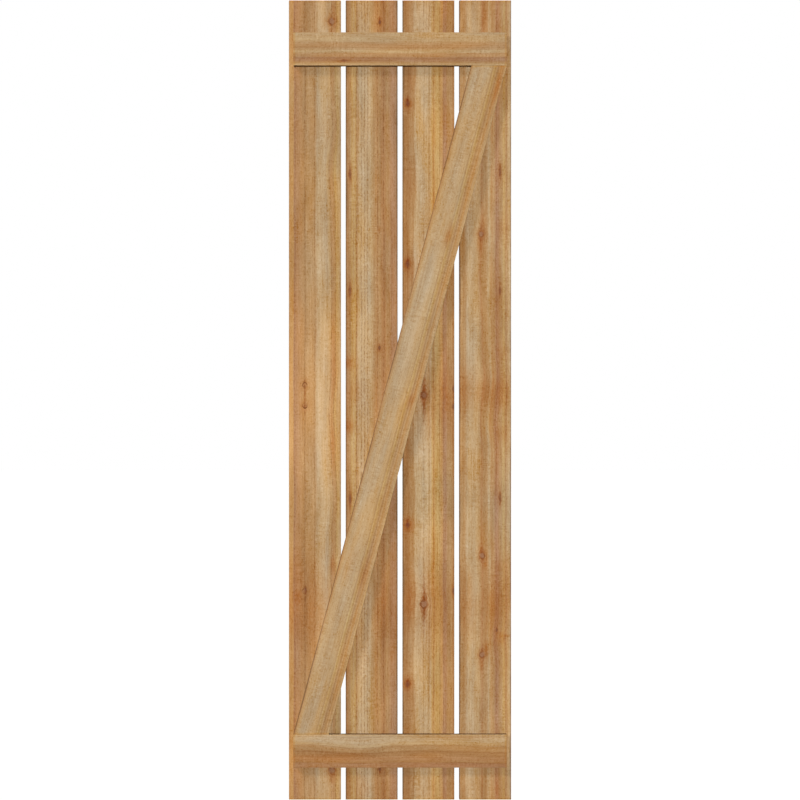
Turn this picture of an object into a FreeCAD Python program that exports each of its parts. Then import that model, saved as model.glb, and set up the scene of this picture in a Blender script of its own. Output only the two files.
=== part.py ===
import FreeCAD, Part
import os

import Sketcher

# Board and batten shutter of rough-sawn cedar. Four upright boards stand side by side with open
# slots between them. Two battens cross their fronts near the ends, and one diagonal brace, cut to
# fit corner to corner, runs between the battens from the lower left to the upper right.
# +Z is up, +X is to the right of someone facing the front, and the front faces -Y. The backs of
# the boards lie on the wall in the plane Y = 0. The origin is on that plane, at mid-height, on
# the centre line of the inner left board.

# Driving dimensions in millimetres
DIMENSIONS = {
    "board_width": 139.7,
    "board_thickness": 22.2,
    "board_length": 2146.3,
    "board_gap": 12.7,          # open slot between two boards
    "batten_width": 88.9,
    "batten_thickness": 22.2,
    "batten_inset": 12.7,       # from the outer edge of the outer boards to the batten's end
    "batten_margin": 88.9,      # from the end of the boards to the batten's outer edge
    "brace_width": 92.0,        # square across the brace, not along its slanted cut
    "brace_thickness": 22.2,
    "arris_radius": 1.6,        # long edges are eased by hand, the sawn ends stay sharp
}

BOARDS = ["outer_left_board", "inner_left_board", "inner_right_board", "outer_right_board"]
DATUM_BOARD = BOARDS.index("inner_left_board")

doc = FreeCAD.newDocument("BoardAndBattenShutter")
sheet = doc.addObject("Spreadsheet::Sheet", "Dimensions")
for row, (alias, value) in enumerate(DIMENSIONS.items(), start=1):
    sheet.set(f"A{row}", alias)
    sheet.set(f"B{row}", str(value))
    sheet.setAlias(f"B{row}", alias)
doc.recompute()

# Sizes and places that follow from the driving dimensions, as expressions on the sheet
PITCH = "(Dimensions.board_width + Dimensions.board_gap)"
MIDDLE_X = f"({(len(BOARDS) - 1) / 2 - DATUM_BOARD} * {PITCH})"
BOARD_FRONT = "(-Dimensions.board_thickness)"
BATTEN_LENGTH = f"({len(BOARDS)} * {PITCH} - Dimensions.board_gap - 2 * Dimensions.batten_inset)"
BATTEN_HEIGHT = "(Dimensions.board_length / 2 - Dimensions.batten_margin - Dimensions.batten_width / 2)"
BRACE_RISE = f"(2 * {BATTEN_HEIGHT} - Dimensions.batten_width)"


def new_outline(label, corners):
    """Body with a closed front outline through four corners, given counter-clockwise from the
    lower left. Top and bottom edges are level, and the outline is centred on the body's origin."""
    body = doc.addObject("PartDesign::Body", label)
    body.Label = label
    plane = next(feature for feature in body.Origin.OriginFeatures if feature.Role == "XZ_Plane")
    sketch = body.newObject("Sketcher::SketchObject", f"{label}_outline")
    sketch.AttachmentSupport = [(plane, "")]
    sketch.MapMode = "FlatFace"
    points = [FreeCAD.Vector(x, z, 0) for x, z in corners]
    for start, end in zip(points, points[1:] + points[:1]):
        sketch.addGeometry(Part.LineSegment(start, end), False)
    for line in range(len(points)):
        following = (line + 1) % len(points)
        sketch.addConstraint(Sketcher.Constraint("Coincident", line, 2, following, 1))
    sketch.addConstraint(Sketcher.Constraint("Horizontal", 0))
    sketch.addConstraint(Sketcher.Constraint("Horizontal", 2))
    sketch.addConstraint(Sketcher.Constraint("Symmetric", 0, 1, 2, 1, -1, 1))
    return body, sketch


def bind_size(sketch, name, constraint, expression):
    """Add a dimension to the sketch and tie it to the sheet."""
    index = sketch.addConstraint(constraint)
    sketch.renameConstraint(index, name)
    sketch.setExpression(f"Constraints.{name}", expression)


def finish_timber(body, sketch, thickness, place):
    """Pad the outline forward by the timber's thickness, ease its four long edges and put it in
    its place."""
    pad = body.newObject("PartDesign::Pad", f"{body.Label}_pad")
    pad.Profile = sketch
    pad.setExpression("Length", thickness)
    doc.recompute()
    longest = max(edge.Length for edge in pad.Shape.Edges)
    long_edges = [
        f"Edge{number}"
        for number, edge in enumerate(pad.Shape.Edges, start=1)
        if edge.Length > longest / 2
    ]
    arris = body.newObject("PartDesign::Fillet", f"{body.Label}_arris")
    arris.Base = (pad, long_edges)
    arris.setExpression("Radius", "Dimensions.arris_radius")
    for axis, expression in zip("xyz", place):
        body.setExpression(f"Placement.Base.{axis}", expression)
    return body


def square_cut(label, width, height, thickness, place):
    """Straight timber with square ends: width along X, height along Z."""
    half_width = sheet.evalExpression(width) / 2
    half_height = sheet.evalExpression(height) / 2
    corners = [
        (-half_width, -half_height),
        (half_width, -half_height),
        (half_width, half_height),
        (-half_width, half_height),
    ]
    body, sketch = new_outline(label, corners)
    sketch.addConstraint(Sketcher.Constraint("Vertical", 1))
    sketch.addConstraint(Sketcher.Constraint("Vertical", 3))
    bind_size(sketch, "Width", Sketcher.Constraint("DistanceX", 0, 1, 0, 2, 2 * half_width), width)
    bind_size(sketch, "Height", Sketcher.Constraint("DistanceY", 1, 1, 1, 2, 2 * half_height), height)
    return finish_timber(body, sketch, thickness, place)


def fitted_brace(label, span, rise, width, thickness, place):
    """Diagonal timber between two level edges. Its ends are cut level to bear on the battens, its
    lower left and upper right corners line up with the batten ends, and the slope follows from
    the width measured square across it."""
    half_span = sheet.evalExpression(span) / 2
    half_rise = sheet.evalExpression(rise) / 2
    square_width = sheet.evalExpression(width)
    corners = [
        (-half_span, -half_rise),
        (square_width - half_span, -half_rise),
        (half_span, half_rise),
        (half_span - square_width, half_rise),
    ]
    body, sketch = new_outline(label, corners)
    sketch.addConstraint(Sketcher.Constraint("Parallel", 1, 3))
    bind_size(sketch, "Span", Sketcher.Constraint("DistanceX", 0, 1, 2, 1, 2 * half_span), span)
    bind_size(sketch, "Rise", Sketcher.Constraint("DistanceY", 0, 1, 2, 1, 2 * half_rise), rise)
    bind_size(sketch, "Width", Sketcher.Constraint("Distance", 0, 2, 3, square_width), width)
    return finish_timber(body, sketch, thickness, place)


# Upright boards, evenly spaced, their backs on the wall
timbers = []
for index, label in enumerate(BOARDS):
    timbers.append(square_cut(
        label,
        width="Dimensions.board_width",
        height="Dimensions.board_length",
        thickness="Dimensions.board_thickness",
        place=(f"{index - DATUM_BOARD} * {PITCH}", "0", "0"),
    ))

# Battens, flat on the fronts of the boards
for label, side in (("top_batten", 1), ("bottom_batten", -1)):
    timbers.append(square_cut(
        label,
        width=BATTEN_LENGTH,
        height="Dimensions.batten_width",
        thickness="Dimensions.batten_thickness",
        place=(MIDDLE_X, BOARD_FRONT, f"{side} * {BATTEN_HEIGHT}"),
    ))

# Diagonal brace, fitted between the inner edges of the battens
timbers.append(fitted_brace(
    "diagonal_brace",
    span=BATTEN_LENGTH,
    rise=BRACE_RISE,
    width="Dimensions.brace_width",
    thickness="Dimensions.brace_thickness",
    place=(MIDDLE_X, BOARD_FRONT, "0"),
))
doc.recompute()

# Nothing is written unless every object of the document is sound
for item in doc.Objects:
    if {"Invalid", "Error"} & set(item.State):
        raise RuntimeError(f"{item.Label} failed to compute: {item.State}")
    if item.isDerivedFrom("Sketcher::SketchObject") and not item.FullyConstrained:
        raise RuntimeError(f"{item.Label} is not fully constrained")
for timber in timbers:
    if timber.Shape.isNull() or not timber.Shape.isValid():
        raise RuntimeError(f"{timber.Label} has no valid shape")

os.makedirs("parts", exist_ok=True)
for timber in timbers:
    timber.Shape.exportStep(f"parts/{timber.Label}.step")
    box = timber.Shape.optimalBoundingBox(False)
    print(
        f"{timber.Label}: X {box.XMin:.2f} to {box.XMax:.2f}, Y {box.YMin:.2f} to {box.YMax:.2f}, "
        f"Z {box.ZMin:.2f} to {box.ZMax:.2f}, {timber.Shape.Volume / 1e6:.4f} litres"
    )
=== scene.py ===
import bpy
import numpy as np
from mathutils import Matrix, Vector


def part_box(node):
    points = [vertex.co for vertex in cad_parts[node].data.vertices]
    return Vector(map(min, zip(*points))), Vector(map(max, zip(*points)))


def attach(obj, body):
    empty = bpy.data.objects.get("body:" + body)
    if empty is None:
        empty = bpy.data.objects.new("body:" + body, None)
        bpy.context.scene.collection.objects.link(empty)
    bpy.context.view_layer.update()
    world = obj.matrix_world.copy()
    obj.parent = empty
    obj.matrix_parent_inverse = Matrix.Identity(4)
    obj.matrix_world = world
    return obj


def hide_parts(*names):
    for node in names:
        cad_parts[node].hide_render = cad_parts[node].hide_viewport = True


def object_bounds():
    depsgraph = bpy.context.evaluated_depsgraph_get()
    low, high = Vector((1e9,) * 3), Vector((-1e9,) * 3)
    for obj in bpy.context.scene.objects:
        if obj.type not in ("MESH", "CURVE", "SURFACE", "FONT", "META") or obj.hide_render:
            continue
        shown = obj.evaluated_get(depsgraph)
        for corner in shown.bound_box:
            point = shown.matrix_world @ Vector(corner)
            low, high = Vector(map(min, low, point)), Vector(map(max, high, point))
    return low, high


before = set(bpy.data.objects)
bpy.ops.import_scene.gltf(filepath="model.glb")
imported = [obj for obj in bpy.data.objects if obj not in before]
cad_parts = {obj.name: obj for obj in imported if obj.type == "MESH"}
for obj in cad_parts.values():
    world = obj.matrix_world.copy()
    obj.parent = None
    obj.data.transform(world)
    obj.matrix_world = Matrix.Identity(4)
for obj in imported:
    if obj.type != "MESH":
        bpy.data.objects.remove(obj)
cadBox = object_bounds()
scene = bpy.context.scene
scene.view_settings.view_transform = "Standard"
metre = 1000.0  # sizes below are millimetres unless a note says otherwise
print("frame loaded:", len(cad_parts), "nodes")


def toLinear(hexText):
    # sRGB hex to linear light: the low end is a straight line, the rest a power of 2.4
    srgb = np.array([int(hexText[i:i + 2], 16) for i in (1, 3, 5)]) / 255
    linear = np.where(srgb <= 0.04045, srgb / 12.92, ((srgb + 0.055) / 1.055) ** 2.4)
    return (*linear.tolist(), 1.0)


def addNode(tree, kind, settings=None, inputs=None):
    # one shader node, its settings, and each input linked to a socket or to a node's first output, or
    # given a value
    node = tree.nodes.new("ShaderNode" + kind)
    for key, value in (settings or {}).items():
        setattr(node, key, value)
    for key, value in (inputs or {}).items():
        if isinstance(value, bpy.types.Node):
            value = value.outputs[0]
        if isinstance(value, bpy.types.NodeSocket):
            tree.links.new(value, node.inputs[key])
        else:
            node.inputs[key].default_value = value
    return node


def emptyTree(owner):
    # node tree of a material or world, with nothing in it yet
    owner.use_nodes = True
    owner.node_tree.nodes.clear()
    return owner.node_tree


def addObject(name, data):
    # object at the origin
    item = bpy.data.objects.new(name, data)
    scene.collection.objects.link(item)
    return item


def cadCorners(node):
    # lowest and highest corner of a node's CAD box, in millimetres
    return np.array(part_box(node)) * metre


# Settings that many nodes share
multiply = {"operation": "MULTIPLY"}
multiplyAdd = {"operation": "MULTIPLY_ADD"}
greatest = {"operation": "MAXIMUM"}
smoothRange = {"interpolation_type": "SMOOTHSTEP"}
colourMix = {"data_type": "RGBA"}


def waveSum(u, v, seed, count=20):
    # smooth noise of unit spread: cosine waves of random direction and phase, added up
    rng = np.random.default_rng(seed)
    total = np.zeros(np.broadcast(u, v).shape)
    for wave in range(count):
        turn = 2 * np.pi * (u * rng.normal() + v * rng.normal())
        total += np.cos(turn + rng.uniform(0, 2 * np.pi))
    return total * np.sqrt(2 / count)


# Tones of red cedar, from the pale sapwood to dark heartwood, and umber, which only draws a thin dark line
# along the edges of boards and the brace
cedarTones = {
    "cream": "#C3A47B",
    "oat": "#BC9D75",
    "wheat": "#BD9A6C",
    "straw": "#BF9A62",
    "honey": "#BE9059",
    "sand": "#B68F61",
    "amber": "#B68A5A",
    "hazel": "#B18859",
    "mauve": "#AE825C",
    "russet": "#AD7E50",
    "dusk": "#A67B55",
    "chestnut": "#A67848",
    "umber": "#86633F",
}

# What the saw does to every timber
sawnTimber = {
    "arris": 1.1,             # radius of the eased long edges
    "endEase": 0.7,           # the same on the free ends
    "ringLean": 0.7,          # how far the growth rings slant through the thickness
    "drift": (260.0, 420.0),  # the grain drifts from straight, over this much across and along it
    "waver": (40.0, 90.0),    # and wavers a little over this much
    "waverShare": 0.2,
    "wash": (90.0, 16.0),     # saw ripples, across the grain and along it
    "washDepth": 0.07,
    "ridges": (14.0, 700.0),  # ridges of hard latewood, across the grain and along it
    "ridgeDepth": 0.08,
    "sideShare": 0.3,         # the narrow sides have this much of the relief
    "knotRise": 0.25,
    "skim": 0.32,             # mean depth of the sawn surface below the timber's outer size
    "endStainReach": 85.0,
    "dirtAndShadeReach": 20.0,        # dirt and painted shade on the sides thicken towards the back, over this depth
    "rowPitch": 3.4,          # mesh spacing along the grain
    "facePitch": 2.5,         # and across the face
    "sideSteps": 6,           # mesh steps across a narrow side
    "arrisSteps": 3,          # and round an eased edge
}


def sawnSection(width, thickness):
    # section of a timber: four straight runs joined by quarter arcs, listed round from the front's left
    arris = sawnTimber["arris"]
    halfA, halfF = width / 2 - arris, thickness / 2 - arris
    corners = np.array([(-halfA, halfF), (halfA, halfF), (halfA, -halfF), (-halfA, -halfF)])
    faceSteps = int(round(width / sawnTimber["facePitch"]))
    sideSteps = sawnTimber["sideSteps"]
    steps = (faceSteps, sideSteps, faceSteps // 2, sideSteps)  # the back is coarser
    points, normals, edgeness = [], [], []
    for side in range(4):
        start, end = corners[side], corners[(side + 1) % 4]
        angle = np.pi / 2 * (1 - side)  # the front looks along +f, the next side along +a, and so on
        facing = np.array([np.cos(angle), np.sin(angle)])
        run = np.linspace(0, 1, steps[side] + 1)[:, None]
        points.append(start + run * (end - start) + arris * facing)
        normals.append(np.repeat(facing[None], len(run), axis=0))
        edgeness.append(np.full(len(run), side % 2, float))
        turn = np.linspace(0, 1, sawnTimber["arrisSteps"] + 1)[1:-1]
        swept = angle - turn * np.pi / 2
        outward = np.stack([np.cos(swept), np.sin(swept)], axis=1)
        points.append(end + arris * outward)
        normals.append(outward)
        edgeness.append(turn if side % 2 == 0 else 1 - turn)
    return np.concatenate(points), np.concatenate(normals), np.concatenate(edgeness)


# How a knot stains and bends the wood round it
knotShape = {
    "haloReach": 2.1,   # in radii of the knot, as all lengths here
    "pushShare": 0.7,
    "pushReach": 3.0,   # along the grain
    "reach": 3.0,       # wood further off belongs to no knot
    "far": 9.0,         # and counts as this far off
    "rings": 3.0,       # growth rings from the middle of the knot to its rim
    "ringTone": 0.45,
    "ringWobble": 0.35,
}


def knotFields(across, along, knots):
    # of the nearest knot: the offset and distance from its centre in its own radii, how grey its core is,
    # how far that core covers the wood, and how dark its rim is, which fades round from one side; of all
    # knots: the flame, a star of burnt-looking wood drawn out along the grain, the halo of stained wood,
    # and the push that bends the grain past them
    names = ("x", "y", "grey", "fill", "rim", "flame", "halo", "push")
    fields = {name: np.zeros(across.shape) for name in names}
    fields["nearest"] = np.full(across.shape, knotShape["far"])
    for knot in knots:
        radius = knot["radius"]
        x = across - knot["across"]
        y = along - knot["along"]
        distance = np.hypot(x, y / knot["tall"]) / radius
        turn = np.arctan2(y, x) - np.radians(knot["rimSide"])
        own = {
            "x": x / radius,
            "y": y / knot["tall"] / radius,
            "grey": knot["grey"],
            "fill": knot["fill"],
            "rim": knot["rim"] * (0.5 + 0.5 * np.cos(turn)),
        }
        for name, value in own.items():
            fields[name] = np.where(distance < fields["nearest"], value, fields[name])
        fields["nearest"] = np.minimum(fields["nearest"], distance)
        reach = np.where(y > 0, knot["above"], knot["below"])
        power = knot["star"]
        star = 1 - (np.abs(x) / knot["spread"]) ** power - (np.abs(y) / reach) ** power
        fields["flame"] = np.maximum(fields["flame"], np.clip(star, 0, 1) * knot["burn"])
        halo = knot["halo"] * np.exp(-(distance / knotShape["haloReach"]) ** 2)
        fields["halo"] = np.maximum(fields["halo"], halo)
        push = x / (1 + (x / radius) ** 2) * np.exp(-(y / (knotShape["pushReach"] * radius)) ** 2)
        fields["push"] += knotShape["pushShare"] * push
    isNear = fields["nearest"] < knotShape["reach"]
    fields["x"] *= isNear
    fields["y"] *= isNear
    fields["away"] = knotShape["far"] * ~isNear
    return fields


def softOval(a, l, mark):
    # one in the middle, fading out: e to the minus sum of squared offsets, over the width and the length
    return np.exp(-((a - mark["across"]) / mark["wide"]) ** 2 - ((l - mark["along"]) / mark["long"]) ** 2)


def makeTimber(timber, lay):
    # a rounded section carried along the grain: place = centre + a*across + l*along + f*front, where l
    # runs over the length plus skew times a, so that a slanted timber can end in level cuts
    low, high = cadCorners(timber["node"])
    acrossAxis, alongAxis = np.array(lay["across"], float), np.array(lay["along"], float)
    front = np.cross(acrossAxis, alongAxis)
    centre = (low + high) / 2
    size = high - low
    width = lay.get("width") or abs(size @ acrossAxis)
    length = size[2] / alongAxis[2] if alongAxis[2] else size[0]
    thickness = size[1]
    section, normal, edgeness = sawnSection(width, thickness)
    rows = int(round(length / sawnTimber["rowPitch"])) + 1
    ease = timber.get("endEase", sawnTimber["endEase"])
    stations = np.linspace(-length / 2, length / 2, rows)
    if ease:
        stations = np.insert(stations, [1, rows - 1], [-length / 2 + ease, length / 2 - ease])
        rows += 2
    fromEnd = (length / 2 - np.abs(stations))[:, None]
    a, f = section[None, :, 0], section[None, :, 1]
    l = stations[:, None] + lay.get("skew", 0.0) * a
    depth = thickness / 2 - f
    seed = timber["seed"]
    knot = knotFields(a + 0 * l, l + 0 * a, timber["knots"])
    stain = knot["halo"] + lay.get("endStain", 0.0) * np.exp(-(fromEnd / sawnTimber["endStainReach"]) ** 2)
    for mark in timber["stains"]:  # patches of darker heartwood
        stain = np.maximum(stain, mark["deep"] * softOval(a, l, mark))
    glow = np.zeros(l.shape)
    for zone in timber.get("glows", []):  # lengths of the timber that are lighter or darker all across
        glow = glow + zone["gain"] * np.exp(-((l - zone["along"]) / zone["long"]) ** 4)

    # grain coordinate: across the timber, leaning with the rings, drifting, and bent round the knots
    bends = {}
    for number, name in enumerate(("drift", "waver")):
        across, along = sawnTimber[name]
        bends[name] = waveSum(l / along, a / across, seed + number) * timber["wander"]
    ring = a + sawnTimber["ringLean"] * depth - knot["push"]
    ring = ring + bends["drift"] + sawnTimber["waverShare"] * bends["waver"]
    for sway in timber.get("sways", []):  # places where the grain swings aside
        ring = ring - sway["shift"] * softOval(a, l, sway)

    # relief, always inward so that the timber stays within its sawn size
    across, along = sawnTimber["wash"]
    wash = waveSum(a / across, l / along, seed + 2) * sawnTimber["washDepth"]
    across, along = sawnTimber["ridges"]
    ridges = waveSum(ring / across, l / along, seed + 3) * sawnTimber["ridgeDepth"]
    roughness = 1 - (1 - sawnTimber["sideShare"]) * edgeness
    knob = sawnTimber["knotRise"] * np.exp(-knot["nearest"] ** 2)
    relief = np.minimum((wash + ridges + knob - sawnTimber["skim"]) * roughness, 0)
    relief = relief - np.clip(ease - fromEnd, 0, None)
    a2 = a + normal[None, :, 0] * relief
    f2 = f + normal[None, :, 1] * relief
    points = centre + a2[..., None] * acrossAxis + l[..., None] * alongAxis + f2[..., None] * front

    count = section.shape[0]
    index = np.arange(rows * count).reshape(rows, count)
    nextAround = np.roll(index, -1, axis=1)
    quads = np.stack([index[:-1], nextAround[:-1], nextAround[1:], index[1:]], axis=-1).reshape(-1, 4)
    faces = quads.tolist() + [index[0, ::-1].tolist(), index[-1].tolist()]
    mesh = bpy.data.meshes.new(timber["node"] + "_sawn")
    mesh.from_pydata((points.reshape(-1, 3) / metre).tolist(), [], faces)

    isEnd = np.arange(len(faces)) >= len(quads)
    mesh.polygons.foreach_set("use_smooth", ~isEnd)
    mesh.polygons.foreach_set("material_index", isEnd.astype(np.int32))
    pairs = np.zeros(len(mesh.edges) * 2, np.int32)
    mesh.edges.foreach_get("vertices", pairs)
    row = (pairs // count).reshape(-1, 2)
    rim = (row[:, 0] == row[:, 1]) & ((row[:, 0] == 0) | (row[:, 0] == rows - 1))
    mesh.attributes.new("sharp_edge", "BOOLEAN", "EDGE").data.foreach_set("value", rim)

    nothing = np.zeros((rows, count))
    fields = {
        "grain": (ring, l + nothing, depth + nothing),
        "fromKnot": (knot["x"], knot["y"], knot["away"]),
        "knot": (knot["grey"], knot["fill"], knot["rim"]),
        "tint": (knot["flame"], stain, glow + nothing),
        "sawn": (edgeness + nothing, fromEnd + nothing, nothing),
    }
    for key, parts in fields.items():
        layer = mesh.attributes.new(key, "FLOAT_VECTOR", "POINT")
        layer.data.foreach_set("vector", np.stack(parts, axis=-1).astype(np.float32).ravel())

    mesh.materials.append(roughSawnCedar(timber, lay, width))
    mesh.materials.append(crossCut)
    piece = addObject(timber["node"] + "_sawn", mesh)
    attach(piece, "root")
    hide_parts(timber["node"])
    print("sawn", timber["node"], len(faces), "faces")


# How the grain looks: each pattern's size across the grain, along it, and its octaves
cedarPatterns = {
    "fray": (3.0, 60.0, 2.0),         # unevenness of the colour bands
    "streaks": (2.6, 190.0, 3.0),     # fine grain, drawn coarser than the real 1 mm so that it shows
    "fibres": (1.7, 30.0, 2.0),
    "beads": (2.4, 9.0, 1.0),         # torn fibres that break the grain into dots
    "blotches": (24.0, 130.0, 2.0),
    "clouds": (60.0, 380.0, 1.0),
    "ticks": (13.0, 4.2, 2.0),        # marks of the saw's teeth, across the grain
    "tickPatches": (24.0, 70.0, 1.0),
    "pits": (2.8, 5.0, 1.0),
    "growth": (7.5, 1400.0, 1.0),     # thin growth lines where this passes its middle value
    "dashes": (5.0, 9.0, 1.0),
    "warmth": (42.0, 260.0, 2.0),     # drift between gold and grey
    "fuzz": (3.5, 8.0, 2.0),          # ragged outline of knots and stains
}

# How strongly each pattern lightens and darkens the wood
cedarContrast = {"streaks": 1.30, "fibres": 0.85, "beads": 0.92, "blotches": 1.15, "clouds": 0.80}

# What lighter, warmer and glowing mean for red, green and blue: darker cedar is also a deeper orange
cedarHue = {"level": (0.34, 0.58, 1.0), "warmth": (0.46, 0.20, -0.33), "glow": (1.0, 0.80, 0.60)}

# How its noise is made: each timber and each pattern starts at a place of its own
cedarNoise = {"roughness": 0.6, "seedStep": (3.7, 1.37), "patternStep": (5.3, 2.9)}

# Colour bands and growth lines
cedarLines = {
    "fray": 2.5,             # how far the edges of the bands fray
    "halfWidth": 2.2,
    "faint": 0.35,           # strength of the faint lines
    "faintWidth": 0.035,     # and their width, in the noise's own swing
    "dashes": (0.42, 0.58),  # lines break over this range of the noise
}

# Ticks of the saw's teeth and pits
sawMarks = {
    "patches": (0.42, 0.66),  # the ticks come in patches, over this range of the noise
    "patchFloor": 0.15,       # and are this strong elsewhere
    "ticks": 1.45,
    "pitRange": (0.56, 0.74),
    "pits": -0.48,
    "darkest": 0.15,          # nothing darkens the wood below this share
}

# Outlines of the marks and knots, which the fuzz makes ragged
markEdges = {
    "stainFuzz": (0.3, 0.7),   # over this range of the fuzz
    "stainShare": (0.6, 1.2),  # a stain has this much of its strength
    "flameTear": 0.8,
    "flame": (0.02, 0.75),     # a flame begins at the first and is full at the second
    "flameEnd": 0.04,
    "dirtAndShadeFront": 0.25,         # share of the dirt and painted shade at the front of a side
    "dirtAndShadeFrom": 0.70,          # how far round the eased edge it begins
    "wear": (3.5, 6.5),        # from the timber's end
    "knotTear": 0.9,
    "core": (0.5, 1.25),       # in radii: the core fades from the first to the second
    "rimAt": 0.95,
    "rimHalfWidth": 0.22,
}

# Fine relief over that of the fibres, and the roughness it leaves
cedarFur = {
    "ticks": 0.6,
    "beads": 0.4,
    "pits": -0.35,
    "lines": -0.3,
    "strength": 0.5,
    "distance": 0.6,
    "sheenNoise": (0.2, 0.8),
    "roughness": (0.78, 0.92),
}

# What the marks do to the wood under them, as colours that multiply it
cedarMarks = {
    "growth": "#CBB59C",
    "stain": "#EBC28C",
    "flame": "#CB8E46",
    # the narrow sides' darkening: part dirt, part painted shade, darkest at the back corner by the boards
    "sideDirtAndShade": "#80705E",
    "endWear": "#FFF5DE",
}

# What covers it
knotTones = {"dark": "#74401F", "grey": "#A68263", "rim": "#804A24"}


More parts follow.
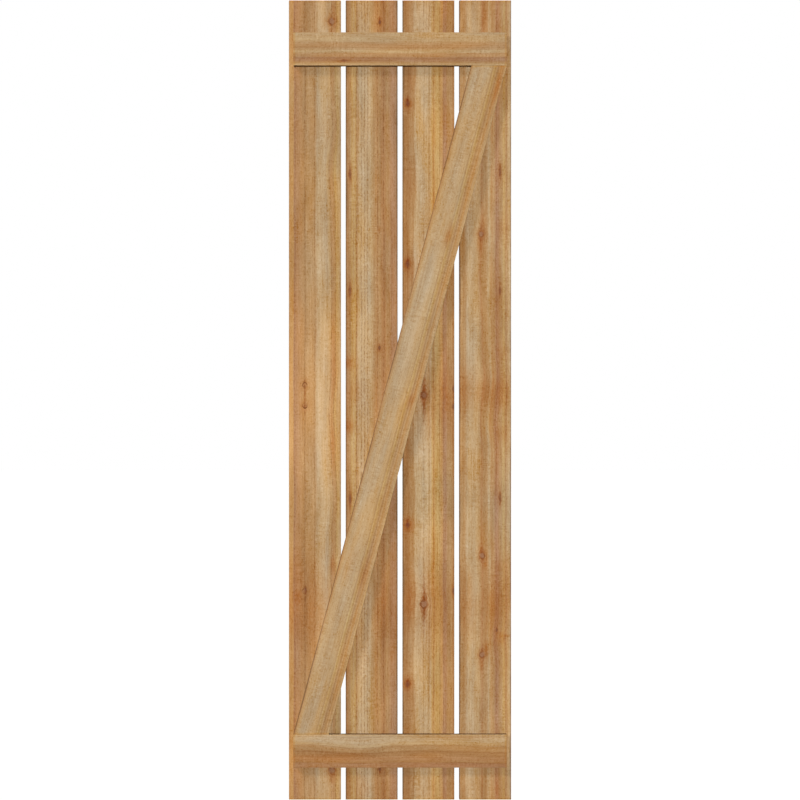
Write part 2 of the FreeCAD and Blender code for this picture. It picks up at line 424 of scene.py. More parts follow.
def roughSawnCedar(timber, lay, width):
    # Western red cedar as the saw leaves it: matt and furry, with bands of sapwood and heartwood, broken
    # dark growth lines, dots and ticks of torn fibre, and ragged red-brown knots. Nearly no gloss.
    material = bpy.data.materials.new("roughSawnCedar_" + timber["node"])
    tree = emptyTree(material)
    fields = {}
    for name in ("grain", "fromKnot", "knot", "tint", "sawn"):
        fields[name] = addNode(tree, "Attribute", {"attribute_name": name}).outputs["Vector"]
    ring = addNode(tree, "SeparateXYZ", None, {0: fields["grain"]})
    nearest = addNode(tree, "VectorMath", {"operation": "LENGTH"}, {
        0: fields["fromKnot"],
    }).outputs["Value"]
    grey, fill, rim = addNode(tree, "SeparateXYZ", None, {0: fields["knot"]}).outputs
    flame, stain, glow = addNode(tree, "SeparateXYZ", None, {0: fields["tint"]}).outputs
    edgeness, fromEnd = addNode(tree, "SeparateXYZ", None, {0: fields["sawn"]}).outputs[:2]

    noise, swing = {}, {}  # swing is the noise less its mean
    seedX, seedY = (timber["seed"] * step for step in cedarNoise["seedStep"])
    for number, (name, (across, along, octaves)) in enumerate(cedarPatterns.items()):
        stepX, stepZ = (number * step for step in cedarNoise["patternStep"])
        place = addNode(tree, "Mapping", None, {
            "Vector": fields["grain"],
            "Location": (seedX + stepX, seedY, stepZ),
            "Scale": (1 / across, 1 / along, 1 / across),
        })
        noise[name] = addNode(tree, "TexNoise", None, {
            "Vector": place, "Scale": 1.0, "Detail": octaves, "Roughness": cedarNoise["roughness"],
        })
        swing[name] = addNode(tree, "Math", {"operation": "SUBTRACT"}, {0: noise[name], 1: 0.5})

    # bands of sapwood and heartwood, by their distance from the left or top edge
    place = addNode(tree, "Math", multiplyAdd, {0: ring, 1: 1 / width, 2: 0.5})
    frayed = addNode(tree, "Math", multiplyAdd, {
        0: swing["fray"], 1: cedarLines["fray"] / width, 2: place,
    })
    bands = addNode(tree, "ValToRGB", None, {0: frayed})
    stops = bands.color_ramp.elements
    stops.remove(stops[1])
    stops[0].color = toLinear(cedarTones[timber["bands"][0][1]])
    for distance, tone in timber["bands"][1:]:
        stops.new(distance / width).color = toLinear(cedarTones[tone])

    # growth lines: the ones that stand out at their own places, and faint ones between them
    chosen = addNode(tree, "ValToRGB", None, {0: place})
    stops = chosen.color_ramp.elements
    stops[1].color = (0, 0, 0, 1)
    for distance in timber["growthLines"]:
        for side, shade in ((-1, 0.0), (0, 1.0), (1, 0.0)):
            offset = side * cedarLines["halfWidth"]
            stops.new((distance + offset) / width).color = (shade, shade, shade, 1)
    crossing = addNode(tree, "Math", {"operation": "ABSOLUTE"}, {0: swing["growth"]})
    faint = addNode(tree, "MapRange", None, {
        "Value": crossing, "From Max": cedarLines["faintWidth"],
        "To Min": cedarLines["faint"], "To Max": 0.0,
    })
    lines = addNode(tree, "Math", greatest, {0: chosen, 1: faint})
    low, high = cedarLines["dashes"]
    dashes = addNode(tree, "MapRange", smoothRange, {
        "Value": noise["dashes"], "From Min": low, "From Max": high,
        "To Min": timber["lines"] * (1 - timber["lineBreaks"]), "To Max": timber["lines"],
    })
    lines = addNode(tree, "Math", multiply, {0: lines, 1: dashes})

    # brightness: grain, blotches, saw ticks in patches, and pits
    level = 0.0
    for name, strength in cedarContrast.items():
        level = addNode(tree, "Math", multiplyAdd, {
            0: swing[name], 1: strength * timber["figure"], 2: level,
        })
    low, high = sawMarks["patches"]
    patches = addNode(tree, "MapRange", smoothRange, {
        "Value": noise["tickPatches"], "From Min": low, "From Max": high, "To Min": sawMarks["patchFloor"],
    })
    ticks = addNode(tree, "Math", multiply, {0: swing["ticks"], 1: patches})
    low, high = sawMarks["pitRange"]
    pits = addNode(tree, "MapRange", smoothRange, {
        "Value": noise["pits"], "From Min": low, "From Max": high,
    })
    for name, mark in (("ticks", ticks), ("pits", pits)):
        level = addNode(tree, "Math", multiplyAdd, {0: mark, 1: sawMarks[name], 2: level})
    hue = (1.0, 1.0, 1.0)
    for name, field in (("level", level), ("warmth", swing["warmth"]), ("glow", glow)):
        hue = addNode(tree, "VectorMath", multiplyAdd, {0: field, 1: cedarHue[name], 2: hue})
    hue = addNode(tree, "VectorMath", greatest, {0: hue, 1: (sawMarks["darkest"],) * 3})
    wood = addNode(tree, "VectorMath", multiply, {0: bands, 1: hue}).outputs[0]

    # marks that tint the wood: each one's amount, then its colour from cedarMarks
    amount = {"growth": lines}
    low, high = markEdges["stainFuzz"]
    least, most = markEdges["stainShare"]
    ragged = addNode(tree, "MapRange", None, {
        "Value": noise["fuzz"], "From Min": low, "From Max": high, "To Min": least, "To Max": most,
    })
    amount["stain"] = addNode(tree, "Math", multiply, {0: stain, 1: ragged})
    torn = addNode(tree, "Math", multiplyAdd, {0: swing["fuzz"], 1: markEdges["flameTear"], 2: flame})
    low, high = markEdges["flame"]
    burnt = addNode(tree, "MapRange", smoothRange, {"Value": torn, "From Min": low, "From Max": high})
    lit = addNode(tree, "MapRange", None, {  # none away from the knots
        "Value": flame, "From Max": markEdges["flameEnd"],
    })
    amount["flame"] = addNode(tree, "Math", multiply, {0: burnt, 1: lit})
    # dirt and painted shade on the narrow sides, growing from the front of a side to its back corner
    dirtAndShade = lay["sideDirtAndShade"]
    corner = addNode(tree, "MapRange", smoothRange, {
        "Value": ring.outputs[2], "From Max": sawnTimber["dirtAndShadeReach"],
        "To Min": markEdges["dirtAndShadeFront"] * dirtAndShade, "To Max": dirtAndShade,
    })
    amount["sideDirtAndShade"] = addNode(tree, "MapRange", smoothRange, {
        "Value": edgeness, "From Min": markEdges["dirtAndShadeFrom"], "To Max": corner,
    })
    low, high = markEdges["wear"]
    amount["endWear"] = addNode(tree, "MapRange", smoothRange, {
        "Value": fromEnd, "From Min": low, "From Max": high, "To Min": 1.0, "To Max": 0.0,
    })
    for name, colour in cedarMarks.items():
        marked = addNode(tree, "Mix", {"data_type": "RGBA", "blend_type": "MULTIPLY"}, {
            0: amount[name], 6: wood, 7: toLinear(colour),
        })
        wood = marked.outputs[2]

    # knots: a core with rings of its own that covers the wood, and a dark line round it
    uneven = addNode(tree, "Math", multiplyAdd, {0: swing["fuzz"], 1: markEdges["knotTear"], 2: nearest})
    low, high = markEdges["core"]
    inside = addNode(tree, "MapRange", smoothRange, {
        "Value": uneven, "From Min": low, "From Max": high, "To Min": fill, "To Max": 0.0,
    })
    wobbly = addNode(tree, "Math", multiplyAdd, {
        0: swing["fuzz"], 1: knotShape["ringWobble"], 2: nearest,
    })
    turns = addNode(tree, "Math", multiply, {0: wobbly, 1: 2 * np.pi * knotShape["rings"]})
    wave = addNode(tree, "Math", {"operation": "COSINE"}, {0: turns})
    ringed = addNode(tree, "Math", multiplyAdd, {0: wave, 1: -knotShape["ringTone"], 2: grey})
    coreTone = addNode(tree, "Mix", colourMix, {
        0: ringed, 6: toLinear(knotTones["dark"]), 7: toLinear(knotTones["grey"]),
    })
    wood = addNode(tree, "Mix", colourMix, {0: inside, 6: wood, 7: coreTone.outputs[2]}).outputs[2]
    onRim = addNode(tree, "Math", {"operation": "COMPARE"}, {
        0: uneven, 1: markEdges["rimAt"], 2: markEdges["rimHalfWidth"],
    })
    rimLine = addNode(tree, "Math", multiply, {0: onRim, 1: rim})
    wood = addNode(tree, "Mix", colourMix, {
        0: rimLine, 6: wood, 7: toLinear(knotTones["rim"]),
    }).outputs[2]

    # fur, pits, ticks and open growth lines as fine relief
    height = noise["fibres"]
    lifts = {"ticks": noise["ticks"], "beads": noise["beads"], "pits": pits, "lines": lines}
    for name, field in lifts.items():
        height = addNode(tree, "Math", multiplyAdd, {0: field, 1: cedarFur[name], 2: height})
    bump = addNode(tree, "Bump", None, {
        "Strength": cedarFur["strength"], "Distance": cedarFur["distance"] / metre, "Height": height,
    })
    low, high = cedarFur["sheenNoise"]
    least, most = cedarFur["roughness"]
    sheen = addNode(tree, "MapRange", None, {
        "Value": noise["streaks"], "From Min": low, "From Max": high, "To Min": least, "To Max": most,
    })
    shader = addNode(tree, "BsdfPrincipled", None, {
        "Base Color": wood, "Roughness": sheen, "Normal": bump,
        "IOR": 1.5, "Specular IOR Level": 0.25,
    })
    addNode(tree, "OutputMaterial", None, {"Surface": shader})
    return material


# Ends of the timbers: sizes across the face and through the thickness
crossCutSizes = {"rings": (1.6, 14.0), "scratches": (25.0, 0.9)}


def crossCutCedar():
    # Cedar cut across the grain: thirsty, darker than the face, with close growth rings and saw scratches.
    material = bpy.data.materials.new("crossCutCedar")
    tree = emptyTree(material)
    grain = addNode(tree, "Attribute", {"attribute_name": "grain"}).outputs["Vector"]
    noise = {}
    for name, (across, through) in crossCutSizes.items():
        place = addNode(tree, "Mapping", None, {
            "Vector": grain, "Scale": (1 / across, 0.0, 1 / through),
        })
        noise[name] = addNode(tree, "TexNoise", None, {"Vector": place, "Scale": 1.0, "Detail": 2.0})
    tones = addNode(tree, "ValToRGB", None, {0: noise["rings"]})
    stops = tones.color_ramp.elements
    for stop, position, tone in zip(stops, (0.34, 0.66), ("#7C5532", "#B28A5C")):
        stop.position = position
        stop.color = toLinear(tone)
    height = addNode(tree, "Math", {"operation": "ADD"}, {0: noise["rings"], 1: noise["scratches"]})
    bump = addNode(tree, "Bump", None, {"Strength": 0.5, "Distance": 0.0005, "Height": height})
    shader = addNode(tree, "BsdfPrincipled", None, {
        "Base Color": tones, "Roughness": 0.92, "Normal": bump, "Specular IOR Level": 0.2,
    })
    addNode(tree, "OutputMaterial", None, {"Surface": shader})
    return material


crossCut = crossCutCedar()

# Kinds of knot, with lengths in millimetres. A live knot has a grey-brown core and a soft flame, and a
# flared one a long dark flame. An arc knot is little more than one side of its rim. A dark knot is a
# small red-brown spot, a round one is larger and softer, an edge knot is cut by the board's side, and a
# spindle is cut nearly along its length. The rim is darkest towards rimSide, in degrees from the right.
# A star below one gives the flame a hollow outline.
liveKnot = {
    "tall": 1.15, "grey": 0.95, "fill": 0.65, "rim": 0.75, "rimSide": 0, "halo": 0.85,
    "spread": 18, "above": 44, "below": 44, "burn": 0.5, "star": 1.0,
}
darkKnot = {
    "tall": 1.5, "grey": 0.0, "fill": 0.9, "rim": 0.0, "rimSide": 0, "halo": 0.7,
    "spread": 6, "above": 44, "below": 40, "burn": 0.85, "star": 0.75,
}
arcKnot = {
    **liveKnot, "radius": 6, "fill": 0.15, "rim": 1.2, "halo": 0.6,
    "spread": 4, "burn": 0.5, "star": 0.75,
}
flaredKnot = {**liveKnot, "rim": 1.3, "spread": 20, "above": 115, "below": 110, "burn": 1.0, "star": 0.75}
roundKnot = {**darkKnot, "radius": 6.5, "tall": 1.3, "fill": 0.5, "halo": 1.4, "spread": 12, "burn": 0.8}
edgeKnot = {**darkKnot, "radius": 4.5, "tall": 2.0, "above": 20, "below": 20}
spindle = {**darkKnot, "tall": 4.2, "grey": 0.3, "fill": 0.6, "spread": 7, "above": 60, "below": 56}

# Boards: the grain is upright. Bands and growth lines are measured from the left edge, all other marks
# from the board's middle. The wood is a deeper orange towards the ends, and the sides get little dirt and
# painted shade.
upright = {"across": (1, 0, 0), "along": (0, 0, 1), "endStain": 0.22, "sideDirtAndShade": 0.25}

outerLeftBoard = {
    "node": "outer_left_board",
    "seed": 11,
    "figure": 0.9,
    "wander": 0.6,
    "bands": [
        (0, "honey"), (11, "honey"), (14, "mauve"), (33, "amber"), (43, "hazel"), (50, "sand"),
        (70, "sand"), (76, "oat"), (82, "cream"), (95, "cream"), (103, "oat"), (110, "wheat"),
        (121, "amber"), (129, "straw"), (135, "wheat"),
    ],
    "growthLines": [16, 43, 69, 114, 125],
    "lines": 0.75,
    "lineBreaks": 0.75,
    "knots": [
        {**liveKnot, "across": 45.5, "along": 1017, "radius": 8, "rimSide": 210},
        {**arcKnot, "across": -27, "along": 40, "rimSide": 110},
        {**arcKnot, "across": -27, "along": -15, "rimSide": 260},
        {**darkKnot, "across": -25, "along": -508, "radius": 3.4, "tall": 1.2, "spread": 5,
         "above": 16, "below": 75},
        {**arcKnot, "across": -28, "along": -514, "rimSide": 60},
        {**liveKnot, "across": 45.5, "along": -994, "radius": 8.5, "rimSide": 90},
    ],
    "stains": [
        {"across": -27, "along": 12, "wide": 2.5, "long": 24, "deep": 0.8},
        {"across": 50, "along": 1048, "wide": 7, "long": 26, "deep": 0.7},
        {"across": 43, "along": 990, "wide": 9, "long": 22, "deep": 0.7},
        {"across": 48, "along": -1018, "wide": 12, "long": 16, "deep": 0.7},
        {"across": 48, "along": -443, "wide": 9, "long": 26, "deep": 0.8},
        {"across": -25, "along": -560, "wide": 65, "long": 125, "deep": 0.75},
        {"across": -45, "along": -530, "wide": 25, "long": 35, "deep": 0.95},
        {"across": 0, "along": 735, "wide": 80, "long": 60, "deep": 0.16},
        {"across": 53, "along": 80, "wide": 9, "long": 90, "deep": 0.6},
        {"across": 50, "along": -115, "wide": 7, "long": 55, "deep": 0.5},
    ],
    "sways": [
        {"across": 42, "along": 604, "wide": 26, "long": 70, "shift": -6},
        {"across": 42, "along": 735, "wide": 26, "long": 50, "shift": 5},
        {"across": 42, "along": -30, "wide": 26, "long": 60, "shift": -5},
        {"across": 42, "along": -260, "wide": 26, "long": 70, "shift": 5},
    ],
    "glows": [{"along": 0, "long": 235, "gain": 0.21}, {"along": 735, "long": 140, "gain": -0.05}],
}
makeTimber(outerLeftBoard, upright)

innerLeftBoard = {
    "node": "inner_left_board",
    "seed": 23,
    "figure": 1.0,
    "wander": 0.5,
    "bands": [
        (0, "umber"), (2.5, "umber"), (4.5, "russet"), (12, "hazel"), (18, "straw"), (22, "wheat"),
        (26, "straw"), (30, "sand"), (36, "cream"), (66, "cream"), (70, "wheat"), (74, "sand"),
        (84, "amber"), (93, "hazel"), (97, "russet"), (106, "russet"), (112, "hazel"), (124, "mauve"),
        (135, "mauve"), (138, "umber"),
    ],
    "growthLines": [29.3, 42.8, 50.8, 58.8, 86, 102.5],
    "lines": 0.9,
    "lineBreaks": 0.75,
    "knots": [
        {**darkKnot, "across": 22, "along": 1015, "radius": 4.2},
        {**darkKnot, "across": 21, "along": 140, "radius": 4.2},
        {**darkKnot, "across": 22, "along": -991, "radius": 4.2},
        {**spindle, "across": -58, "along": 607, "radius": 3.4},
        {**spindle, "across": -58, "along": 293, "radius": 3.0, "below": 40},
        {**spindle, "across": -58, "along": -266, "radius": 3.4},
    ],
    "stains": [
        {"across": 21, "along": 459, "wide": 4, "long": 9, "deep": 0.8},
        {"across": -62, "along": 99, "wide": 15, "long": 18, "deep": 0.9},
        {"across": -62, "along": -71, "wide": 15, "long": 18, "deep": 0.9},
        {"across": -48, "along": 22, "wide": 24, "long": 32, "deep": 0.4},
        {"across": 30, "along": -560, "wide": 45, "long": 90, "deep": 0.4},
        {"across": -30, "along": 735, "wide": 45, "long": 60, "deep": 0.18},
        {"across": -40, "along": -660, "wide": 40, "long": 75, "deep": 0.3},
        {"across": -22, "along": -1045, "wide": 30, "long": 40, "deep": 0.5},
    ],
    "glows": [
        {"along": 750, "long": 140, "gain": -0.04},
        {"along": -40, "long": 190, "gain": 0.07},
        {"along": -830, "long": 80, "gain": -0.03},
    ],
}
makeTimber(innerLeftBoard, upright)

innerRightBoard = {
    "node": "inner_right_board",
    "seed": 37,
    "figure": 1.0,
    "wander": 0.5,
    "bands": [
        (0, "umber"), (3, "umber"), (5, "chestnut"), (15, "chestnut"), (22, "hazel"), (29, "hazel"),
        (33, "cream"), (67, "cream"), (71, "wheat"), (76, "cream"), (80, "straw"), (84, "honey"),
        (89, "straw"), (98, "straw"), (106, "honey"), (112, "mauve"), (117, "mauve"), (122, "hazel"),
        (131, "hazel"), (133, "amber"), (136.5, "chestnut"),
    ],
    "growthLines": [57, 72.2, 84, 100.5, 111],
    "lines": 0.7,
    "lineBreaks": 0.75,
    "knots": [
        {**flaredKnot, "across": -11.6, "along": 13, "radius": 8, "grey": 0.6, "rimSide": 180},
        {**flaredKnot, "across": -11.6, "along": -548, "radius": 9, "rimSide": 200},
        {**roundKnot, "across": -55.6, "along": 796, "below": 22},
        {**roundKnot, "across": -55.6, "along": 365},
        {**roundKnot, "across": -55.6, "along": -336, "below": 22},
        {**roundKnot, "across": -55.6, "along": -763},
        {**edgeKnot, "across": 68, "along": 30},
        {**edgeKnot, "across": 68, "along": -18},
        {**edgeKnot, "across": 68, "along": -513},
    ],
    "stains": [
        {"across": 4, "along": -548, "wide": 46, "long": 105, "deep": 0.7},
        {"across": 4, "along": 0, "wide": 40, "long": 90, "deep": 0.6},
        {"across": -48, "along": 350, "wide": 14, "long": 34, "deep": 0.7},
        {"across": -48, "along": 850, "wide": 15, "long": 58, "deep": 0.4},
        {"across": -46, "along": 594, "wide": 15, "long": 60, "deep": 0.25},
        {"across": -46, "along": -795, "wide": 15, "long": 42, "deep": 0.3},
        {"across": 46, "along": 5, "wide": 32, "long": 95, "deep": 0.85},
        {"across": 68, "along": 6, "wide": 4, "long": 34, "deep": 1.2},
        {"across": -50, "along": -545, "wide": 22, "long": 62, "deep": 0.8},
    ],
    "sways": [
        {"across": -37, "along": 890, "wide": 22, "long": 60, "shift": 7},
        {"across": -37, "along": 588, "wide": 22, "long": 70, "shift": 6},
        {"across": -37, "along": -261, "wide": 22, "long": 45, "shift": 5},
        {"across": -37, "along": -525, "wide": 22, "long": 65, "shift": 6},
        {"across": -37, "along": -880, "wide": 22, "long": 90, "shift": 6},
    ],
    "glows": [
        {"along": 745, "long": 50, "gain": 0.05},
        {"along": -255, "long": 65, "gain": -0.10},
        {"along": -380, "long": 50, "gain": 0.06},
        {"along": -690, "long": 75, "gain": 0.06},
    ],
}
makeTimber(innerRightBoard, upright)

outerRightBoard = {
    "node": "outer_right_board",
    "seed": 53,
    "figure": 1.0,
    "wander": 0.5,
    "bands": [
        (0, "umber"), (2.2, "umber"), (3.2, "sand"), (7, "hazel"), (15, "hazel"), (21, "oat"),
        (27, "cream"), (36, "oat"), (51, "wheat"), (57, "sand"), (62, "russet"), (66, "hazel"),
        (71, "hazel"), (75, "sand"), (80, "oat"), (83, "wheat"), (87, "amber"), (93, "sand"),
        (98, "mauve"), (105, "mauve"), (110, "hazel"), (115, "sand"), (120, "straw"), (126, "amber"),
        (132, "wheat"), (136.5, "cream"), (138.5, "umber"),
    ],
    "growthLines": [100, 126],
    "lines": 0.6,
    "lineBreaks": 0.7,
    "knots": [
        {**spindle, "across": 40, "along": 612, "radius": 3.0},
        {**spindle, "across": 40, "along": 293, "radius": 2.6, "below": 40},
        {**spindle, "across": 40, "along": -263, "radius": 3.2},
        {**darkKnot, "across": 31, "along": -618, "radius": 3.0, "tall": 1.8, "above": 30, "below": 14},
        {**liveKnot, "across": -10.7, "along": 446, "radius": 6.5, "rim": 0.6, "rimSide": 250},
        {**liveKnot, "across": -8, "along": -418, "radius": 6.8, "rimSide": 320},
        {**liveKnot, "across": -8, "along": -684, "radius": 6.8, "rimSide": 190},
    ],
    "stains": [
        {"across": -2, "along": 1030, "wide": 10, "long": 55, "deep": 0.8},
        {"across": -5, "along": 470, "wide": 8, "long": 34, "deep": 0.6},
        {"across": -15, "along": 420, "wide": 8, "long": 26, "deep": 0.9},
        {"across": -13, "along": -402, "wide": 7, "long": 18, "deep": 0.8},
        {"across": 0, "along": -438, "wide": 9, "long": 24, "deep": 0.9},
        {"across": 3, "along": -668, "wide": 9, "long": 26, "deep": 1.0},
        {"across": -10, "along": -706, "wide": 7, "long": 24, "deep": 0.9},
        {"across": 40, "along": -636, "wide": 17, "long": 28, "deep": 0.9},
        {"across": 50, "along": -633, "wide": 22, "long": 4.5, "deep": 1.1},
        {"across": 32, "along": -1045, "wide": 5, "long": 25, "deep": 0.8},
        {"across": 25, "along": 20, "wide": 55, "long": 48, "deep": 0.75},
        {"across": 45, "along": 126, "wide": 22, "long": 22, "deep": 0.35},
        {"across": 45, "along": -88, "wide": 22, "long": 26, "deep": 0.4},
        {"across": 45, "along": 465, "wide": 20, "long": 26, "deep": 0.35},
        {"across": 42, "along": -450, "wide": 22, "long": 26, "deep": 0.6},
        {"across": 35, "along": -540, "wide": 58, "long": 110, "deep": 0.7},
        {"across": -48, "along": -550, "wide": 34, "long": 90, "deep": 0.65},
        {"across": -58, "along": 28, "wide": 36, "long": 62, "deep": 0.8},
    ],
    "sways": [
        {"across": -14, "along": 330, "wide": 24, "long": 80, "shift": -5},
        {"across": 0, "along": 60, "wide": 34, "long": 45, "shift": 6},
        {"across": 10, "along": -60, "wide": 34, "long": 45, "shift": -5},
        {"across": -10, "along": -520, "wide": 26, "long": 55, "shift": 2},
        {"across": 30, "along": -640, "wide": 24, "long": 40, "shift": -5},
    ],
    "glows": [
        {"along": 330, "long": 170, "gain": 0.03},
        {"along": -15, "long": 60, "gain": -0.04},
        {"along": -185, "long": 65, "gain": 0.06},
        {"along": -545, "long": 70, "gain": -0.05},
        {"along": -800, "long": 90, "gain": 0.04},
    ],
}
makeTimber(outerRightBoard, upright)

# Battens: the grain is level. Bands and growth lines are measured from the top edge. The level sides are
# darkened strongly, part dirt and part painted shade under the top batten and over the bottom one.
level = {"across": (0, 0, -1), "along": (1, 0, 0), "sideDirtAndShade": 1.2}

topBatten = {
    "node": "top_batten",
    "seed": 71,
    "figure": 0.8,
    "wander": 0.4,
    "bands": [
        (0, "wheat"), (5, "oat"), (10, "wheat"), (21, "wheat"), (27, "sand"), (34, "amber"),
        (40, "amber"), (46, "sand"), (49, "wheat"), (53, "wheat"), (57, "amber"), (63, "amber"),
        (68, "dusk"), (76, "dusk"), (81, "hazel"), (86, "wheat"),
    ],
    "growthLines": [41, 69],
    "lines": 0.4,
    "lineBreaks": 0.5,
    "knots": [{**spindle, "across": 32, "along": -149, "radius": 2.2, "above": 22, "below": 22}],
    "stains": [],
}
makeTimber(topBatten, level)

bottomBatten = {
    "node": "bottom_batten",
    "seed": 89,
    "figure": 0.9,
    "wander": 1.0,
    "bands": [
        (0, "wheat"), (4, "oat"), (18, "oat"), (27, "wheat"), (31, "sand"), (34, "hazel"), (42, "hazel"),
        (47, "chestnut"), (57, "chestnut"), (62, "russet"), (68, "russet"), (75, "chestnut"),
        (80, "dusk"),
    ],
    "growthLines": [6, 31, 48, 77],
    "lines": 0.5,
    "lineBreaks": 0.5,
    "knots": [],
    "stains": [
        {"across": -37, "along": 170, "wide": 4, "long": 90, "deep": 0.4},
        {"across": 37, "along": 150, "wide": 6, "long": 170, "deep": 0.45},
        {"across": 14, "along": -160, "wide": 12, "long": 120, "deep": 0.25},
    ],
    "sways": [
        {"across": -12, "along": -250, "wide": 24, "long": 80, "shift": -4},
        {"across": -10, "along": -110, "wide": 24, "long": 75, "shift": 7},
        {"across": -12, "along": 130, "wide": 24, "long": 110, "shift": -3},
    ],
}
makeTimber(bottomBatten, level)

# Brace: leaning from the lower left to the upper right, its ends cut level and tight on the battens
diagonalBrace = {
    "node": "diagonal_brace",
    "seed": 97,
    "figure": 0.7,
    "wander": 0.5,
    "width": 92.0,
    "endEase": 0.0,
    "bands": [
        (0, "umber"), (1.2, "umber"), (2.6, "amber"), (5, "sand"), (9, "wheat"), (14, "oat"), (40, "oat"),
        (50, "wheat"), (58, "wheat"), (64, "straw"), (70, "sand"), (75, "sand"), (80, "honey"),
        (84, "sand"), (90, "wheat"),
    ],
    "growthLines": [58, 65, 72, 79],
    "lines": 0.5,
    "lineBreaks": 0.3,
    "knots": [],
    "stains": [
        {"across": 13, "along": 458, "wide": 10, "long": 28, "deep": 0.9},
        {"across": 28, "along": 7, "wide": 8, "long": 20, "deep": 0.8},
        {"across": 24, "along": -470, "wide": 10, "long": 60, "deep": 0.75},
        {"across": -20, "along": -460, "wide": 14, "long": 45, "deep": 0.2},
        {"across": 38, "along": 875, "wide": 7, "long": 45, "deep": 0.9},
    ],
}
braceLow, braceHigh = cadCorners("diagonal_brace")
span, rise = (braceHigh - braceLow)[[0, 2]]
lean = np.arccos(diagonalBrace["width"] / np.hypot(span, rise)) - np.arctan2(rise, span)  # from upright
makeTimber(diagonalBrace, {
    "across": (np.cos(lean), 0, -np.sin(lean)),
    "along": (np.sin(lean), 0, np.cos(lean)),
    "skew": np.tan(lean),
    # the brace's sides get some dirt and painted shade too
    "sideDirtAndShade": 0.35,
    "width": diagonalBrace["width"],
})

# Screws: countersunk heads on the back, staggered in pairs where a board crosses a batten or the brace
screws = {
    "headRadius": 4.2,
    "rimDrop": 0.25,         # the edge is rounded by this much
    "rimReach": 0.15,        # and stands out by this much
    "coneDepth": 2.4,        # the cone under the head is out of sight in the wood
    "ringPitch": 0.26,       # mesh spacing from the middle out
    "recessReach": 2.7,      # half the length of the cross recess
    "recessHalfWidth": 0.55,
    "recessFlare": 1.6,      # in half widths: where its sides reach the top
    "recessFade": 0.5,       # length over which its ends run out
    "recessDepth": 1.5,
    "below": 0.06,           # top of the head below the boards' outer size
    "stagger": (38.0, 18.0),  # aside and up from the middle of a batten crossing
    "braceStagger": (14.0, 32.0),
    "braceReach": 830.0,     # pairs on the brace are kept this far from mid-height, clear of the battens
    "angles": 48,
    "tarnish": 2.5,          # size of the dull patches
}


def makeScrews(places):
    # heads as a polar grid: rings from the middle out to the edge, then in and down a cone. The height is
    # level but for a cross recess, two crossed grooves whose depth fades at their sides and ends.
    rng = np.random.default_rng(7)
    head = screws["headRadius"]
    rings = np.append(np.arange(screws["ringPitch"], head, screws["ringPitch"]), head)
    radius = np.concatenate([rings, [head + screws["rimReach"], head / 2]])
    drop = np.concatenate([0 * rings, [screws["rimDrop"], screws["coneDepth"]]])
    angle = np.linspace(0, 2 * np.pi, screws["angles"], endpoint=False)
    u = radius[:, None] * np.cos(angle)
    w = radius[:, None] * np.sin(angle)
    groove = 0
    for along, across in ((u, w), (w, u)):
        side = np.clip(screws["recessFlare"] - np.abs(across) / screws["recessHalfWidth"], 0, 1)
        end = np.clip((screws["recessReach"] - np.abs(along)) / screws["recessFade"], 0, 1)
        groove = np.maximum(groove, side * end)
    inward = drop[:, None] + screws["recessDepth"] * groove
    count, around = u.shape
    index = np.arange(count * around).reshape(count, around)
    nextAround = np.roll(index, -1, axis=1)
    quads = np.stack([index[:-1], index[1:], nextAround[1:], nextAround[:-1]], axis=-1).reshape(-1, 4)
    points, faces = [], []
    for number, (x, z) in enumerate(places):
        turn = rng.uniform(0, np.pi / 2)
        offset = number * index.size
        points.append(np.stack([
            x + u * np.cos(turn) - w * np.sin(turn),
            boardBack - screws["below"] - inward,
            z + u * np.sin(turn) + w * np.cos(turn),
        ], axis=-1).reshape(-1, 3))
        faces += (quads + offset).tolist()
        faces += [(index[0] + offset).tolist(), (index[-1, ::-1] + offset).tolist()]
    mesh = bpy.data.meshes.new("backScrews")
    mesh.from_pydata((np.concatenate(points) / metre).tolist(), [], faces)
    mesh.polygons.foreach_set("use_smooth", np.ones(len(faces), bool))
    mesh.materials.append(zincPlatedSteel())
    piece = addObject("backScrews", mesh)
    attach(piece, "root")
    print("screws", len(places), "heads,", len(faces), "faces")


def zincPlatedSteel():
    # Zinc-plated steel that has dulled outdoors: a grey metal with a soft, uneven shine.
    material = bpy.data.materials.new("zincPlatedSteel")
    tree = emptyTree(material)
    place = addNode(tree, "TexCoord").outputs["Object"]
    tarnish = addNode(tree, "TexNoise", None, {
        "Vector": place, "Scale": metre / screws["tarnish"], "Detail": 2.0,
    })
    tones = addNode(tree, "ValToRGB", None, {0: tarnish})
    for stop, position, tone in zip(tones.color_ramp.elements, (0.35, 0.65), ("#8F8C85", "#B4B1A9")):
        stop.position = position
        stop.color = toLinear(tone)
    polish = addNode(tree, "MapRange", None, {
        "Value": tarnish, "From Min": 0.3, "From Max": 0.7, "To Min": 0.50, "To Max": 0.32,
    })
    shader = addNode(tree, "BsdfPrincipled", None, {
        "Base Color": tones, "Metallic": 1.0, "Roughness": polish,
    })
    addNode(tree, "OutputMaterial", None, {"Surface": shader})
    return material


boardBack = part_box("inner_left_board")[1][1] * metre
middleX = (braceLow[0] + braceHigh[0]) / 2
places = []
for board in (outerLeftBoard, innerLeftBoard, innerRightBoard, outerRightBoard):
    low, high = cadCorners(board["node"])
    boardX = (low[0] + high[0]) / 2
    for batten in (topBatten, bottomBatten):
        low, high = cadCorners(batten["node"])
        battenZ = (low[2] + high[2]) / 2
        aside, up = screws["stagger"]
        places += [(boardX - aside, battenZ + up), (boardX + aside, battenZ - up)]
    crossingZ = np.clip((boardX - middleX) / np.tan(lean), -screws["braceReach"], screws["braceReach"])
    for side in (-1, 1):
        aside, up = screws["braceStagger"]
        z = crossingZ + side * up
        places.append((middleX + z * np.tan(lean) - side * aside, z))
makeScrews(places)

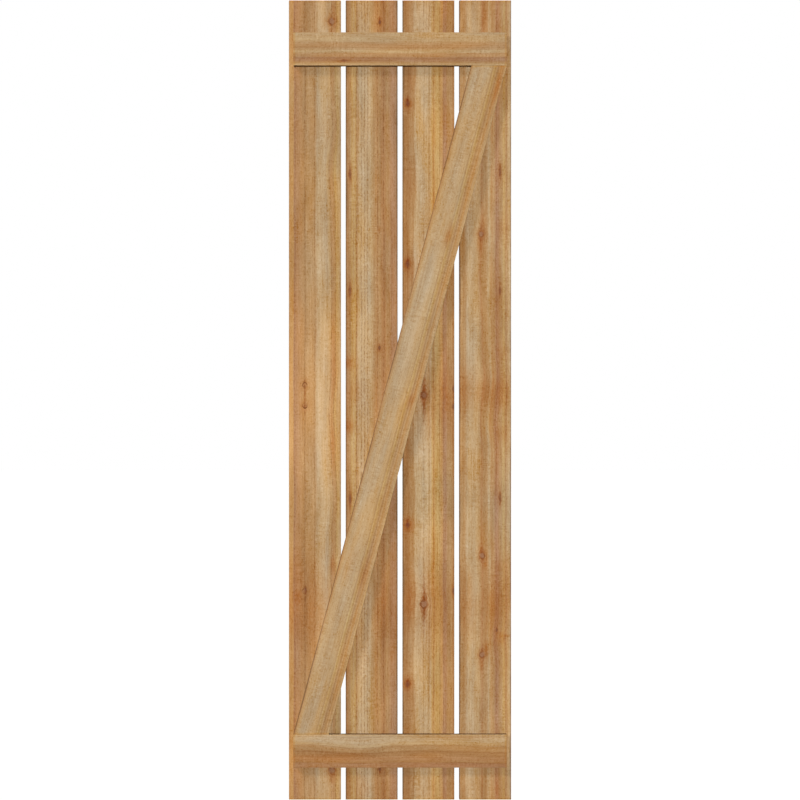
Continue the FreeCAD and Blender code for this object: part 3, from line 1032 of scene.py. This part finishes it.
# Studio: a pale floor below the hung shutter, soft light mostly from the front, a key light from the
# upper left, and lamps behind and beside it for the other views
studio = {
    "cameraDistance": 6.5,    # metres from the front of the boards
    "pictureHeight": 2.1483,  # metres that the picture covers at the boards
    "floorDrop": 0.30,        # metres below the shutter
    "floorHalf": 40.0,        # metres
    "ambient": 0.07,
    "floorGlow": 0.86,
    "lamps": {
        "key": {"strength": 1.22, "from": (-0.627, -0.518, 0.594), "angle": 11},
        "front": {"strength": 2.14, "from": (0.0, -1.0, 0.045), "angle": 4},
        "rear": {"strength": 2.80, "from": (0.35, 1.0, 0.35), "angle": 30},
        "side": {"strength": 1.90, "from": (1.0, 0.15, 0.10), "angle": 30},
    },
}
white = (1, 1, 1, 1)
middle = (cadBox[0] + cadBox[1]) / 2
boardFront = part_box("inner_left_board")[0][1]


def seenDirectly(tree):
    # the greatest of three ray kinds: 1 where the camera, a mirror or glass looks, 0 for bounced light
    path = addNode(tree, "LightPath").outputs
    seen = path["Is Camera Ray"]
    for kind in ("Is Glossy Ray", "Is Transmission Ray"):
        seen = addNode(tree, "Math", greatest, {0: seen, 1: path[kind]})
    return seen


scene.world = bpy.data.worlds.new("studioWorld")
tree = emptyTree(scene.world)
shine = addNode(tree, "MapRange", None, {"Value": seenDirectly(tree), "To Min": studio["ambient"]})
backdrop = addNode(tree, "Background", None, {"Color": white, "Strength": shine})
addNode(tree, "OutputWorld", None, {"Surface": backdrop})

# Pale floor paint: matt, a light grey to the lamps, lifted to white where it is seen
floorPaint = bpy.data.materials.new("paleFloorPaint")
tree = emptyTree(floorPaint)
lift = addNode(tree, "Math", multiply, {0: seenDirectly(tree), 1: studio["floorGlow"]})
matt = addNode(tree, "BsdfDiffuse", None, {"Color": toLinear("#8C8C8A")})
glow = addNode(tree, "Emission", None, {"Color": white, "Strength": lift})
both = addNode(tree, "AddShader", None, {0: matt, 1: glow})
addNode(tree, "OutputMaterial", None, {"Surface": both})

half = studio["floorHalf"]
floorHeight = cadBox[0].z - studio["floorDrop"]
corners = [(x, y, floorHeight) for x, y in ((-half, -half), (half, -half), (half, half), (-half, half))]
floorMesh = bpy.data.meshes.new("paleFloor")
floorMesh.from_pydata(corners, [], [(0, 1, 2, 3)])
floorMesh.materials.append(floorPaint)
addObject("paleFloor", floorMesh)

for name, setup in studio["lamps"].items():
    lamp = bpy.data.lights.new(name + "Lamp", "SUN")
    lamp.energy = setup["strength"]
    lamp.angle = np.radians(setup["angle"])
    holder = addObject(name + "Lamp", lamp)
    holder.rotation_mode = "QUATERNION"
    holder.rotation_quaternion = Vector(setup["from"]).to_track_quat("Z", "Y")

lens = bpy.data.cameras.new("photoCamera")
lens.lens = lens.sensor_width * studio["cameraDistance"] / studio["pictureHeight"]
camera = addObject("photoCamera", lens)
camera.location = (middle.x, boardFront - studio["cameraDistance"], middle.z)
camera.rotation_euler = (np.pi / 2, 0, 0)
scene.camera = camera
print("studio ready")
